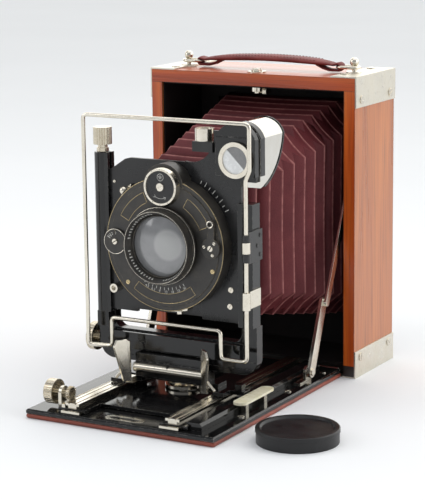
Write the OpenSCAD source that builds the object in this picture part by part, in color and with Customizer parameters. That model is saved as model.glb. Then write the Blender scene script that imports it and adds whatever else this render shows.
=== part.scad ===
// Folding plate camera with a teak case, a drop bed, a leather bellows and a
// dial-set leaf shutter, standing open on its bed.
// The origin is the mouth of the tripod bush in the bed. +X is the camera's
// left-to-right as the lens faces the viewer, -Y is where the lens points, +Z is up.

/* [Case] */
// Width of the wooden case
case_w = 126; // [120:0.5:132]
// Height of the wooden case
case_h = 165; // [160:0.5:170]
// Depth of the wooden case
case_d = 51; // [48:0.5:56]
// Thickness of the side boards
side_t = 6.5; // [5.5:0.1:7]
// Thickness of the top board
top_t = 7; // [6:0.1:8]
// Length of a corner plate's leaf along the top or bottom
corner_leaf = 14.5; // [12:0.5:16]
// Height of a corner plate's leaf on the side
corner_height = 16; // [13:0.5:18]

/* [Bed] */
// Distance from the tripod bush back to the front of the case
bush_to_case = 76; // [75:0.5:78]
// Distance from the tripod bush to the front edge of the bed
bush_to_edge = 67.6; // [66:0.2:69]
// Width of the bed
bed_w = 111; // [109:0.5:112]
// Thickness of the bed's wooden board
board_t = 2.6; // [2.4:0.1:2.8]
// Height of the bed's lacquered top
bed_top = 4.9; // [4.8:0.1:4.9]
// Radius of the tripod thread
thread_r = 4.76; // [4.7:0.01:4.8]
// Depth of the tripod thread
thread_depth = 5.5; // [5:0.1:5.8]

/* [Focus] */
// Pitch radius of the focus pinion
pinion_r = 3.5; // [3.5:0.1:3.5]
// Number of teeth on the focus pinion
pinion_teeth = 20; // [20:1:20]
// Radius of the focus knob
focus_knob_r = 6.5; // [6.4:0.1:6.9]

/* [Standard] */
// Height of the lens axis above the floor
lens_z = 86.6; // [86:0.2:87]
// Radius of the shutter housing
shutter_r = 34.7; // [34:0.1:35]
// Radius of the lens barrel at its front rim
barrel_r = 19; // [18.6:0.1:19.2]
// Radius of the finder frame's wire
wire_r = 1.1; // [0.9:0.05:1.2]

/* [Lens cap] */
// Radius of the lens cap
cap_r = 20.6; // [20.4:0.1:21.2]
// Height of the lens cap
cap_h = 7.6; // [7.2:0.1:9]

/* [Hidden] */
$fn = 64;
e = 0.01;
half_w = case_w / 2;
inner_w = half_w - side_t;
front_y = bush_to_case;
rear_y = front_y + case_d;
inner_top = case_h - top_t;
plate_t = 0.8;
floor_t = 6;
lining_t = 0.8;
half_bed = bed_w / 2;

// Track: a plate between two guides, with two T rails on it
track_z = 5.3;
track_top = 7.1;
track_half = 38;
rail_in = 25.5;
rail_out = 33.5;
rail_top = 10;
track_front = -63;
track_back = 70;
rack_x = -35.9;
rack_w = 2;
pitch_z = 9.4;
pinion_z = pitch_z + pinion_r;
pinion_y = -56;
tooth_pitch = 2 * PI * pinion_r / pinion_teeth;

// Standard
board_front = -10;
board_back = -8;
frame_front = -12;
pillar_left = -47.5;
pillar_right = -37.5;
pillar_top = 131;
pillar_x = (pillar_left + pillar_right) / 2;
pillar_y = -8.5;
upright_left = 39.1;
upright_right = 47.7;
upright_top = 110;
wire_x = 48;
wire_y = -19.4;
shutter_face = -18.6;
barrel_front = -27.7;
dial_z = 117.1;
dial_front = -22.2;
finder_x = 39.8;
finder_z = 132.5;
finder_mid = 39.3;
neck_r = 7.95;
bellows_half = 31;
bellows_low = 49;
bellows_high = 122;
bellows_cut = 11;
barrel_neck = 18.2;
level_x = 18;
level_y = -7;
mode_x = -28.7;
mode_z = lens_z - 0.3;
hub_x = 28.1;
hub_z = lens_z + 0.9;
cross_z = 30;
cross_y = -5;

// Handle
post_x = 51.9;
handle_y = 99;
handle_z = 168.3;

// Where the lens cap lies
cap_x = 86.5;
cap_y = -39;

// A box between two values on each axis
module slab(x, y, z) {
    translate([x[0], y[0], z[0]]) cube([x[1] - x[0], y[1] - y[0], z[1] - z[0]]);
}

// A cylinder along +Y from y[0] to y[1]
module rod_y(x, y, z, r) {
    translate([x, y[1], z]) rotate([90, 0, 0]) cylinder(r = r, h = y[1] - y[0]);
}

// A cylinder along +X from x[0] to x[1]
module rod_x(x, y, z, r) {
    translate([x[0], y, z]) rotate([0, 90, 0]) cylinder(r = r, h = x[1] - x[0]);
}

// A cylinder along +Z from z[0] to z[1]
module rod_z(x, y, z, r) {
    translate([x, y, z[0]]) cylinder(r = r, h = z[1] - z[0]);
}

// Both the shape and its mirror image across the middle
module both_sides() {
    children();
    mirror([1, 0, 0]) children();
}

// A slab in the X-Z plane with rounded corners
module rounded_slab(x, y, z, r) {
    slab([x[0] + r, x[1] - r], y, z);
    slab(x, y, [z[0] + r, z[1] - r]);
    for (cx = [x[0] + r, x[1] - r], cz = [z[0] + r, z[1] - r]) rod_y(cx, y, cz, r);
}

// A slotted screw head standing on the plane z = 0
module screw_head(r, h = 0.5, turn = 0) {
    difference() {
        cylinder(r = r, h = h);
        rotate(turn) translate([-2 * r, -r / 8, h / 2]) cube([4 * r, r / 4, h]);
    }
}

// A knurled knob along +Z
module knurled(r, h, count) {
    groove = PI * r / count / 2;
    difference() {
        cylinder(r = r, h = h);
        for (i = [0 : count - 1])
            rotate(360 * i / count) translate([r, 0, -1]) rotate(45)
                cube([groove, groove, 2 * h + 4], center = true);
        for (i = [0 : count - 1])
            rotate(360 * i / count) translate([r, 0, h]) rotate(45)
                cube([groove, groove, 2 * h], center = true);
    }
}

// A straight round wire between two points, with a ball at its start
module wire(from, to, r) {
    step = to - from;
    length = norm(step);
    turn = acos(step[2] / length);
    translate(from) rotate([0, turn, atan2(step[1], step[0])]) cylinder(r = r, h = length);
    translate(from) sphere(r = r);
}

// ---------------------------------------------------------------- case

module case_sides() {
    color("peru") both_sides()
        slab([inner_w, half_w], [front_y, rear_y], [plate_t, inner_top]);
}

module case_ends() {
    color("chocolate") {
        difference() {
            slab([-half_w, half_w], [front_y, rear_y], [inner_top, case_h]);
            rod_z(0, front_y + 7.6, [inner_top - 1, case_h + 1], 3.2);
        }
        slab([-inner_w, inner_w], [front_y + 5, rear_y], [plate_t, floor_t]);
    }
}

module case_lining() {
    lining_front = front_y + 1.5;
    color("black") difference() {
        slab([-inner_w, inner_w], [lining_front, rear_y], [floor_t, inner_top]);
        slab([-inner_w + lining_t, inner_w - lining_t], [lining_front - 1, rear_y + 1],
             [floor_t + lining_t, inner_top - lining_t]);
        slab([-inner_w - 1, inner_w + 1], [lining_front - 1, front_y + 5],
             [floor_t - 1, floor_t + lining_t + e]);
        rod_z(0, front_y + 7.6, [inner_top - 2, inner_top + 1], 3.2);
    }
}

module corner_plates() {
    color("silver") both_sides() {
        slab([half_w, half_w + plate_t], [front_y, rear_y],
             [case_h - corner_height, case_h + plate_t]);
        slab([half_w - corner_leaf, half_w], [front_y, rear_y], [case_h, case_h + plate_t]);
        slab([half_w, half_w + plate_t], [front_y, rear_y], [0, corner_height - 1]);
        slab([half_w - corner_leaf, half_w], [front_y, rear_y], [0, plate_t]);
    }
}

module case_screws() {
    head = 2.3;
    color("lightgray") both_sides() {
        for (y = [front_y + 7, rear_y - 7]) {
            translate([half_w + plate_t, y, case_h - corner_height + 4])
                rotate([0, 90, 0]) screw_head(head, turn = y);
            translate([half_w + plate_t, y, corner_height - 5])
                rotate([0, 90, 0]) screw_head(head, turn = 2 * y);
        }
        translate([half_w - corner_leaf + 4, rear_y - 8, case_h + plate_t])
            screw_head(head, turn = 40);
        translate([half_w - corner_leaf + 4, front_y + 9, case_h + plate_t])
            screw_head(head, turn = 70);
    }
}

// ---------------------------------------------------------------- top fittings

module handle_post() {
    rod_z(post_x, handle_y, [case_h + plate_t, case_h + plate_t + 0.3], 4.6);
    rod_z(post_x, handle_y, [case_h + plate_t, handle_z + 2], 1.3);
    translate([post_x, handle_y, handle_z + 3]) sphere(r = 2.5);
}

module top_fittings() {
    catch_y = front_y + 11.5;
    color("silver") {
        both_sides() handle_post();
        difference() {
            rod_z(0, front_y + 7.6, [case_h, case_h + 0.7], 5.2);
            rod_z(0, front_y + 7.6, [case_h - 1, case_h + 2], 3.2);
        }
        difference() {
            slab([-3.5, 3.5], [catch_y, catch_y + 6], [inner_top - lining_t - 4.5, inner_top - lining_t]);
            slab([-1.2, 1.2], [catch_y - 1, catch_y + 3], [inner_top - 8, inner_top - 2.8]);
        }
    }
}

module door_button() {
    color("silver") {
        rod_z(0, front_y + 7.6, [inner_top - 3.5, case_h + 1.6], 3);
        rod_z(0, front_y + 7.6, [case_h + 1.6, case_h + 2.2], 2.4);
    }
}

// The wire loops that join the posts to the strap
module handle_rings() {
    loop_in = 45.5;
    loop_out = post_x + 2.6;
    loop_half = 3.4;
    r = 0.9;
    color("silver") both_sides() translate([0, handle_y, handle_z]) {
        for (y = [-loop_half, loop_half]) rod_x([loop_in, loop_out - loop_half], y, 0, r);
        translate([loop_out - loop_half, 0, 0]) rotate(-90)
            rotate_extrude(angle = 180) translate([loop_half, 0]) circle(r = r);
        translate([loop_in, 0, 0]) rotate(90)
            rotate_extrude(angle = 180) translate([loop_half, 0]) circle(r = r);
    }
}

// A leather strap that arches a little from loop to loop
module handle_strap() {
    reach = 40;
    rise = 2.6;
    arch_r = (reach * reach + rise * rise) / (2 * rise);
    strap_w = 13.5;
    strap_t = 2.6;
    end_z = handle_z - 0.9;
    color("maroon") intersection() {
        difference() {
            rod_y(0, [handle_y - strap_w / 2, handle_y + strap_w / 2],
                  end_z + rise + strap_t - arch_r, arch_r, $fn = 200);
            rod_y(0, [handle_y - strap_w, handle_y + strap_w],
                  end_z + rise - arch_r, arch_r, $fn = 200);
        }
        slab([-reach, reach], [handle_y - strap_w, handle_y + strap_w],
             [end_z - 1, end_z + 20]);
    }
}

// ---------------------------------------------------------------- back

// The frame that closes the back of the case, with two channels for the glass back
module back_frame() {
    color("dimgray") {
        difference() {
            slab([-55.5, 55.5], [rear_y - 8, rear_y], [7, 157]);
            slab([-44, 44], [rear_y - 9, rear_y + 1], [28, 146]);
        }
        both_sides() {
            slab([50.6, 54], [rear_y, rear_y + 6], [10, 155]);
            slab([48, 50.6], [rear_y + 4, rear_y + 6], [10, 155]);
        }
        slab([-50.6, 50.6], [rear_y, rear_y + 3.8], [10, 13]);
    }
}

module glass_back() {
    color("dimgray") {
        difference() {
            slab([-50.2, 50.2], [rear_y + 0.2, rear_y + 3.7], [13.2, 153]);
            slab([-41, 41], [rear_y - 1, rear_y + 5], [30, 144]);
            slab([-43.2, 43.2], [rear_y - 1, rear_y + 2.2], [27.8, 146.2]);
        }
        difference() {
            slab([-46.5, 46.5], [rear_y + 3.7, rear_y + 6.5], [22, 151]);
            slab([-41, 41], [rear_y + 3, rear_y + 8], [30, 144]);
        }
    }
}

module ground_glass() {
    color("lightcyan") slab([-43, 43], [rear_y + 0.4, rear_y + 2.2], [28, 146]);
}

module back_lid() {
    hinge_z = 151.6;
    hinge_y = rear_y + 8.3;
    color("black") {
        slab([-46.3, 46.3], [rear_y + 6.8, rear_y + 8.6], [22, hinge_z - 2]);
        rod_x([-40, 40], hinge_y, hinge_z, 1.2);
        slab([-40, 40], [rear_y + 7.4, rear_y + 8.6], [hinge_z - 2, hinge_z]);
    }
}

// ---------------------------------------------------------------- bed

module bed_board() {
    seam = 0.25;
    edge_r = board_t / 2;
    color("sienna") difference() {
        union() {
            slab([-half_bed + edge_r, half_bed - edge_r], [-bush_to_edge + edge_r, front_y - 1], [0, board_t]);
            rod_x([-half_bed + edge_r, half_bed - edge_r], -bush_to_edge + edge_r, edge_r, edge_r);
            both_sides() {
                rod_y(half_bed - edge_r, [-bush_to_edge + edge_r, front_y - 1], edge_r, edge_r);
                translate([half_bed - edge_r, -bush_to_edge + edge_r, edge_r]) sphere(r = edge_r);
            }
        }
        rod_z(0, 0, [-1, board_t + 1], 8.5);
        for (x = [-0.31 * bed_w, 0.28 * bed_w])
            slab([x, x + seam], [-bush_to_edge - 1, -bush_to_edge + 0.4], [-1, board_t + 1]);
    }
}

module bed_plate() {
    inset = 0.3;
    color([0.08, 0.08, 0.08]) difference() {
        slab([-half_bed + inset, half_bed - inset], [-bush_to_edge + inset, front_y - 1],
             [board_t, bed_top]);
        rod_z(0, 0, [0, bed_top + 1], 8.5);
        translate([0, -bush_to_edge + inset, bed_top]) rotate([45, 0, 0])
            cube([bed_w + 2, 1, 1], center = true);
        both_sides() translate([half_bed - inset, 0, bed_top]) rotate([0, 45, 0])
            cube([1, 300, 1], center = true);
    }
}

// The long pin hinge where the bed folds up into the case
module bed_hinge() {
    hinge_y = front_y + 1.2;
    hinge_z = 3.6;
    color("silver") for (i = [-3 : 3])
        rod_x([i * 15.4 - 7.4, i * 15.4 + 7.4], hinge_y, hinge_z, 1.6);
}

// An oval slotted ring near the edge of the bed, and the bed's screws
module bed_trim() {
    color("silver") {
        difference() {
            hull() for (x = [-7.5, 7.5]) rod_z(x, -60, [bed_top, bed_top + 0.25], 3.5, $fn = 32);
            hull() for (x = [-7, 7]) rod_z(x, -60, [bed_top - 1, bed_top + 1], 1.6, $fn = 32);
        }
        for (x = [-50, 50], y = [-30, 22, 64])
            translate([x, y, bed_top]) screw_head(1.8, turn = x + y);
    }
}

module tripod_bush() {
    color("silver") difference() {
        union() {
            rod_z(0, 0, [0, bed_top], 8.5);
            rod_z(0, 0, [bed_top, 7.4], 6.8);
        }
        rod_z(0, 0, [-1, thread_depth], thread_r);
        rod_z(0, 0, [thread_depth + 0.4, 8], 1.25);
    }
}

// A flat ring with a finger lever that locks the track to the bed
module lock_ring() {
    color("silver") {
        difference() {
            rod_z(0, 0, [7.7, 9.2], 10.4);
            rod_z(0, 0, [7, 10], 8.6);
        }
        difference() {
            union() {
                slab([-9, 9], [-1.4, 1.4], [7.7, 9.2]);
                rod_z(0, 0, [6.2, 7.7], 1.2);
                rod_z(0, 0, [7.7, 9.6], 2.6);
            }
            slab([-3, 3], [-0.3, 0.3], [9.2, 10]);
        }
        slab([10, 15], [-1.5, 1.5], [7.7, 9.2]);
    }
}

// Fixed guides whose lips hold the edges of the track plate
module track_guide(front) {
    translate([0, track_back, 0]) rotate([90, 0, 0]) linear_extrude(track_back - front)
        polygon([[track_half + 0.3, bed_top], [45, bed_top], [45, 7.5], [43.7, 8.8],
                 [36.4, 8.8], [36.4, 7.4], [track_half + 0.3, 7.4]]);
}

module track_guides() {
    color([0.1, 0.1, 0.1]) {
        track_guide(-61);
        mirror([1, 0, 0]) track_guide(-49);
    }
}

// Brackets on the bed: the focus shaft's bearing, the scale's foot and the strut pivots
module bed_brackets() {
    color("silver") {
        difference() {
            union() {
                slab([-40.3, -38.4], [pinion_y - 3.5, pinion_y + 3.5], [bed_top, pinion_z]);
                rod_x([-40.3, -38.4], pinion_y, pinion_z, 3.5);
            }
            rod_x([-42, -38], pinion_y, pinion_z, 1.56);
        }
        slab([45.6, 48.6], [-22, -19], [bed_top, 9.9]);
        slab([45.6, 48.6], [-2, 1], [bed_top, 9.9]);
        both_sides() difference() {
            union() {
                slab([48.6, 50.2], [42.8, 49.2], [bed_top, 10]);
                rod_x([48.6, 50.2], 46, 10, 3.2);
                slab([46.2, 50.2], [36, 49.2], [bed_top, bed_top + 0.9]);
            }
            rod_x([48, 51], 46, 10, 1.5);
        }
    }
}

// The rounded distance scale
module scale_plate() {
    color("ivory") difference() {
        hull() for (y = [-24.4, 3.4]) rod_z(47, y, [9.9, 11.2], 3.8, $fn = 32);
        for (y = [-22 : 4 : 2]) slab([43, 45.2], [y, y + 0.4], [11, 12]);
    }
}

// A folding strut: a wide lower arm, a shoulder and a thin upper arm
module strut() {
    pivot = [46, 10];
    shoulder = [60.5, 45.4];
    pin = [88, 105];
    lower_x = [50.8, 52.6];
    upper_x = [53.4, 54.6];
    hull() {
        rod_x(lower_x, pivot[0], pivot[1], 3.2, $fn = 32);
        rod_x(lower_x, shoulder[0], shoulder[1], 3.2, $fn = 32);
    }
    hull() {
        rod_x(upper_x, shoulder[0], shoulder[1], 2.2, $fn = 32);
        rod_x(upper_x, pin[0], pin[1], 2.2, $fn = 32);
    }
    rod_x([lower_x[1] - e, upper_x[0] + e], shoulder[0], shoulder[1], 2.2);
    rod_x([lower_x[0] - 2.2, lower_x[0] + e], pivot[0], pivot[1], 1.45);
    rod_x([lower_x[1] - e, lower_x[1] + 0.7], pivot[0], pivot[1], 2);
    rod_x([upper_x[1] - e, inner_w - lining_t], pin[0], pin[1], 2);
}

module strut_left() {
    color("silver") mirror([1, 0, 0]) strut();
}

module strut_right() {
    color("silver") strut();
}

// ---------------------------------------------------------------- focus track

module track_plate() {
    notch = -48;
    slot_half = 7.4;
    slot_end = 38;
    color([0.1, 0.1, 0.1]) difference() {
        slab([-track_half, track_half], [track_front, track_back], [track_z, track_top]);
        slab([-22, 22], [track_front - 1, notch], [track_z - 1, track_top + 1]);
        rod_z(0, 0, [track_z - 1, track_top + 1], slot_half);
        rod_z(0, slot_end, [track_z - 1, track_top + 1], slot_half);
        slab([-slot_half, slot_half], [0, slot_end], [track_z - 1, track_top + 1]);
    }
}

// One T rail with two fine grooves along its head, and a foot at its front end
module track_rail() {
    web = 1.5;
    mid = (rail_in + rail_out) / 2;
    rotate([90, 0, 0]) translate([0, 0, -track_back]) linear_extrude(track_back - track_front)
        polygon([[rail_in + web, track_top], [rail_out - web, track_top], [rail_out - web, 8.6],
                 [rail_out, 8.6], [rail_out, rail_top], [mid + 2.3, rail_top], [mid + 2.3, rail_top - 0.4],
                 [mid + 1.5, rail_top - 0.4], [mid + 1.5, rail_top], [mid - 1.5, rail_top],
                 [mid - 1.5, rail_top - 0.4], [mid - 2.3, rail_top - 0.4], [mid - 2.3, rail_top],
                 [rail_in, rail_top], [rail_in, 8.6], [rail_in + web, 8.6]]);
    slab([rail_in - 2, rail_out + 1], [track_front - 3, track_front], [track_z, 6.5]);
}

module track_rails() {
    color("silver") both_sides() track_rail();
}

// Half the width of a rack tooth at a height above the pitch line, with backlash
function rack_half(h) = tooth_pitch / 4 - 0.09 - h * tan(20);

module focus_rack() {
    tip = 0.3;
    root = -0.5;
    first = ceil((track_front + 2 - pinion_y) / tooth_pitch);
    last = floor((track_back - 2 - pinion_y) / tooth_pitch);
    color("silver") {
        slab([rack_x, rack_x + rack_w], [track_front, track_back], [track_top, pitch_z + root]);
        translate([rack_x, 0, 0]) rotate([90, 0, 90]) linear_extrude(rack_w)
            for (i = [first : last]) {
                y = pinion_y + (i + 0.5) * tooth_pitch;
                polygon([[y - rack_half(root), pitch_z + root], [y + rack_half(root), pitch_z + root],
                         [y + rack_half(tip), pitch_z + tip], [y - rack_half(tip), pitch_z + tip]]);
            }
    }
}

// The focus knob, its shaft and the pinion that drives the rack
module focus_knob() {
    tip_r = pinion_r + 0.3;
    root_r = pinion_r - 0.5;
    half_root = 10;
    half_tip = 90 / pinion_teeth - 2.6;
    color("silver") translate([0, pinion_y, pinion_z]) {
        rotate([0, -90, 0]) translate([0, 0, 42.6]) difference() {
            knurled(focus_knob_r, 5, 30);
            translate([0, 0, 4.4]) cylinder(r = 4.7, h = 1);
            translate([0, 0, -0.4]) cylinder(r = 4.9, h = 1);
        }
        rod_x([-47.8, rack_x + rack_w], 0, 0, 1.5);
        rotate([90, 0, 90]) translate([0, 0, rack_x]) linear_extrude(rack_w) {
            circle(r = root_r);
            for (i = [0 : pinion_teeth - 1]) rotate(360 * i / pinion_teeth)
                polygon([[0, -root_r * sin(half_root) / 2], [root_r - 0.05, -root_r * sin(half_root) / 2],
                         [tip_r, -tip_r * sin(half_tip)], [tip_r, tip_r * sin(half_tip)],
                         [root_r - 0.05, root_r * sin(half_root) / 2], [0, root_r * sin(half_root) / 2]]);
        }
    }
}

// ---------------------------------------------------------------- carriage

module carriage_base() {
    color([0.1, 0.1, 0.1]) {
        difference() {
            slab([-34, 34], [-19, 2], [rail_top + 0.3, 12.3]);
            both_sides() slab([-1, 27.5], [-20, -12], [rail_top, 13]);
            slab([-19.4, 19.4], [-13, 3], [rail_top, 13]);
        }
        slab([-27, 27], [-12, -3], [12.3, 14.3]);
        both_sides() {
            slab([23.9, 25.1], [-11, 1], [7.6, rail_top + 0.3]);
            slab([25.1, 26.4], [-11, 1], [7.6, 8.2]);
        }
        difference() {
            slab([-20.4, 20.4], [-16, -10], [14.3, 26.8]);
            slab([-21, 21], [-17, -15.4], [22.6, 23.4]);
        }
        slab([-20.4, 20.4], [-10, -8.2], [23.6, 26.4]);
        slab([-20, 20], [-10, -3], [14.3, 19.7]);
        slab([34, 42.4], [-12.4, -6.4], [rail_top + 0.3, 12.3]);
        slab([37, 41], [-12.4, -8.4], [12.3, 15.6]);
    }
}

module carriage_bar() {
    color("silver") difference() {
        rod_x([-20.6, 20.6], -16, 19.2, 2.6);
        slab([-21, 21], [-16, -13], [16, 23]);
        translate([0, -17.5, 21.6]) rotate([0, 45, 0]) cube([1.6, 4, 1.6], center = true);
    }
}

// A finger grip: a foot that slides on the carriage, a flared pad that widens upwards and a brace
module grip() {
    pad_t = 0.9;
    color("silver") {
        slab([20.8, 24.8], [-18.9, -14.5], [rail_top + 0.6, 14]);
        hull() {
            translate([21.4, -19.5, 12]) cube([pad_t, pad_t, pad_t]);
            translate([24.4, -21.4, 12]) cube([pad_t, pad_t, pad_t]);
            translate([21.2, -20, 32.6]) cube([pad_t, pad_t, pad_t]);
            translate([27.6, -24.8, 30.4]) cube([pad_t, pad_t, pad_t]);
            translate([22.6, -21.2, 33.6]) cube([pad_t, pad_t, pad_t]);
            translate([26.4, -24, 33.4]) cube([pad_t, pad_t, pad_t]);
        }
        hull() {
            translate([24.6, -21, 19]) sphere(r = 0.8, $fn = 16);
            translate([29.4, -20.6, 13.6]) sphere(r = 0.8, $fn = 16);
        }
    }
}

module grip_left() {
    mirror([1, 0, 0]) grip();
}

module grip_right() {
    grip();
}

// ---------------------------------------------------------------- U frame

module u_frame() {
    outer_r = 9;
    inner_r = 5;
    color([0.1, 0.1, 0.1]) difference() {
        union() {
            rounded_slab([pillar_left, upright_right], [-8, -2], [20, 60], outer_r);
            slab([pillar_left + 8, upright_right - 8], [frame_front, -8], [27.3, 36.2]);
        }
        slab([pillar_left - 1, upright_right + 1], [-9, -1], [46, 61]);
        rounded_slab([pillar_right, upright_left], [-9, -1], [37, 70], inner_r);
        slab([-21, -16], [frame_front - 1, frame_front + 0.6], [31.2, 32.6]);
        slab([-50, 50], [-9, -7.7], [23, 27]);
        rod_x([pillar_left - 1, 12], cross_y, cross_z, 1.3);
    }
}

// The hollow pillar that holds the rise screw
module left_pillar() {
    color([0.1, 0.1, 0.1]) difference() {
        union() {
            rod_z(pillar_x, pillar_y, [46, pillar_top], 4.5);
            slab([pillar_x, pillar_right], [-12, -5.5], [46, pillar_top]);
            slab([pillar_x - 3.5, pillar_x + 3.5], [-12, -8.2], [38, 46]);
        }
        slab([pillar_right - 1.6, pillar_right + 1], [board_front - 0.25, board_back + 0.25],
             [30, pillar_top + 1]);
        rod_z(pillar_x, pillar_y, [60, pillar_top + 1], 1.56);
    }
}

module right_upright() {
    color([0.1, 0.1, 0.1]) difference() {
        slab([upright_left, upright_right], [frame_front, -4], [46, upright_top]);
        slab([upright_left - 1, upright_left + 1.7], [board_front - 0.25, board_back + 0.25],
             [45, upright_top + 1]);
        slab([upright_left + 3, upright_left + 6], [frame_front - 1, frame_front + 0.8],
             [45, upright_top + 1]);
    }
}

// The black plate and knuckle that the wire frame turns in
module frame_hinge() {
    color([0.12, 0.12, 0.12]) {
        difference() {
            union() {
                slab([upright_right, upright_right + 1.2], [wire_y + 1, -3.6], [81, 97]);
                rod_z(wire_x, wire_y, [82, 86.4], 2.1);
                rod_z(wire_x, wire_y, [92.4, 96], 2.1);
            }
            rod_z(wire_x, wire_y, [80, 98], wire_r + 0.05);
            rod_z(wire_x, wire_y, [86.4, 92.4], 2.3);
        }
        for (place = [[-6, 94], [-9, 89], [-6, 84]])
            translate([upright_right + 1.2, place[0], place[1]]) rotate([0, 90, 0])
                screw_head(1.1, h = 0.4, turn = place[1]);
    }
}

// Nickel parts that keep the wire on the upright
module frame_clip() {
    color("silver") {
        difference() {
            rod_z(wire_x, wire_y, [86.6, 92.2], 2.2);
            rod_z(wire_x, wire_y, [80, 98], wire_r + 0.05);
        }
        difference() {
            union() {
                slab([upright_right, upright_right + 1], [wire_y, -5.2], [57.5, 66.5]);
                rod_z(wire_x, wire_y, [57.5, 66.5], 2.1);
            }
            rod_z(wire_x, wire_y, [50, 70], wire_r + 0.05);
        }
    }
}

module rise_knob() {
    color("silver") {
        rod_z(pillar_x, pillar_y, [70, pillar_top + 5], 1.5);
        rod_z(pillar_x, pillar_y, [pillar_top + 0.2, pillar_top + 2.2], 3.2);
        rod_z(pillar_x, pillar_y, [pillar_top + 2.2, pillar_top + 4], 2.6);
        translate([pillar_x, pillar_y, pillar_top + 4]) knurled(4.9, 9, 24);
    }
}

module cross_knob() {
    color("silver") {
        rod_x([pillar_left - 6, 10], cross_y, cross_z, 1.2);
        rod_x([pillar_left - 2.4, pillar_left - 0.3], cross_y, cross_z, 3);
        translate([pillar_left - 2.4, cross_y, cross_z]) rotate([0, -90, 0])
            knurled(7.6, 3.6, 36);
    }
}

// The open frame of nickel wire that is looked through from behind
module wire_frame() {
    left_x = -47.2;
    upper_x = wire_x + 2.2;
    top_z = 151.6;
    low_z = 30.5;
    left_leg = -32.3;
    right_leg = 33;
    notch_z = 45.2;
    corners = [
        [wire_x, wire_y, low_z], [wire_x, wire_y, 123.5], [upper_x, wire_y, 128.5],
        [upper_x, wire_y, top_z], [left_x, wire_y, top_z], [left_x, wire_y, low_z - 1.5],
        [left_leg, wire_y, low_z - 0.5], [left_leg, wire_y, notch_z],
        [right_leg, wire_y, notch_z], [right_leg, wire_y, low_z], [wire_x, wire_y, low_z]
    ];
    color("silver") for (i = [0 : len(corners) - 2])
        wire(corners[i], corners[i + 1], wire_r);
}

// ---------------------------------------------------------------- lens board

module board_outline() {
    left = -38.6;
    right = 40.4;
    bottom = 47.5;
    flat_top = 129;
    tower_top = 146;
    difference() {
        union() {
            translate([left, bottom]) square([right - left, 122 - bottom]);
            polygon([[left, 121], [left + 2, 122.5], [-28, flat_top - 0.8], [-25, flat_top],
                     [26, flat_top], [right, 121]]);
            translate([8, flat_top - 1]) square([30, tower_top - flat_top + 1]);
            translate([25, 121]) square([24, tower_top - 121]);
        }
        translate([11, flat_top + 14]) circle(r = 14);
        translate([-10, tower_top - 3]) square([21, 10]);
        translate([-22, bottom - 1]) square([39, 2.4]);
        translate([0, lens_z]) circle(r = barrel_neck + 0.2);
        translate([finder_x, finder_z]) circle(r = neck_r + 0.05);
    }
}

// The sliding front board, its bellows mount behind it and the level's bracket
module lens_board() {
    color([0.1, 0.1, 0.1]) {
        translate([0, board_back, 0]) rotate([90, 0, 0])
            linear_extrude(board_back - board_front) board_outline();
        difference() {
            translate([0, -4.2, 0]) rotate([90, 0, 0]) linear_extrude(-4.2 - board_back)
                bellows_outline(bellows_half, [bellows_low, bellows_high], bellows_cut);
            rod_y(0, [-9, -3], lens_z, 28);
        }
        slab([13.4, 25.2], [board_front - 2, board_back], [135, 140.2]);
    }
}

module board_screws() {
    color("lightgray") {
        for (place = [[34.1, 64.6, 1.5], [33.5, 55.9, 1.5], [-34.6, 116, 0.8]])
            translate([place[0], board_front, place[1]]) rotate([90, 0, 0])
                screw_head(place[2], turn = place[1]);
        difference() {
            rod_y(-34.9, [-13, board_front], 59.3, 2.4);
            rod_y(-34.9, [-14, -11], 59.3, 1.3);
        }
    }
}

// ---------------------------------------------------------------- shutter and lens

module shutter() {
    color([0.16, 0.15, 0.14]) difference() {
        union() {
            rod_y(0, [shutter_face, board_front], lens_z, shutter_r);
            rod_y(0, [shutter_face - 0.5, shutter_face], lens_z, shutter_r - 2.6);
            rod_y(0, [shutter_face - 0.2, board_front], dial_z, 11.6);
        }
        rod_y(0, [-30, 0], lens_z, barrel_neck + 0.1);
        rod_y(0, [-30, shutter_face + 2], dial_z, 1.56);
        rod_y(mode_x, [-30, shutter_face + 2], mode_z, 1.26);
        rod_y(hub_x, [-30, shutter_face + 2], hub_z, 1.26);
    }
}

// Screws on the face
module shutter_trim() {
    face = shutter_face - 0.5;
    color("goldenrod") for (place = [[-21.9, 65.2, 1.2], [28.5, 75.4, 1.2]])
        translate([place[0], face, place[1]]) rotate([90, 0, 0])
            screw_head(place[2], h = 0.3, turn = place[0]);
}

module lens_barrel() {
    rim_back = barrel_front + 5.2;
    color([0.07, 0.07, 0.07]) difference() {
        union() {
            rod_y(0, [barrel_front, rim_back], lens_z, barrel_r);
            rod_y(0, [rim_back - e, rim_back + 1.4], lens_z, 20.2);
            rod_y(0, [rim_back + 1.3, 6], lens_z, barrel_neck);
        }
        translate([0, barrel_front - e, lens_z]) rotate([-90, 0, 0])
            cylinder(r1 = barrel_r - 0.9, r2 = 16.4, h = 4.5);
        rod_y(0, [barrel_front, 7], lens_z, 15.8);
    }
}

// Front and rear elements, each bulging outwards
module lens_glass() {
    bulge_r = 60;
    color("azure") {
        intersection() {
            translate([0, -24.2 + bulge_r, lens_z]) sphere(r = bulge_r, $fn = 128);
            rod_y(0, [-26, -19], lens_z, 15.75);
        }
        intersection() {
            translate([0, 5 - bulge_r, lens_z]) sphere(r = bulge_r, $fn = 128);
            rod_y(0, [0, 6], lens_z, 15.75);
        }
    }
}

// The closed leaf blades, five overlapping leaves in a thin stack
module shutter_blades() {
    color("slategray") for (i = [0 : 4])
        translate([0, -12 - i * 0.3, lens_z]) rotate([0, 72 * i, 0]) rotate([90, 0, 0])
            linear_extrude(0.25) intersection() {
                circle(r = 15.6);
                polygon([[0, 0], [17, 0], [17, 17], [-2, 17], [-1.5, 8]]);
            }
}

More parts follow.
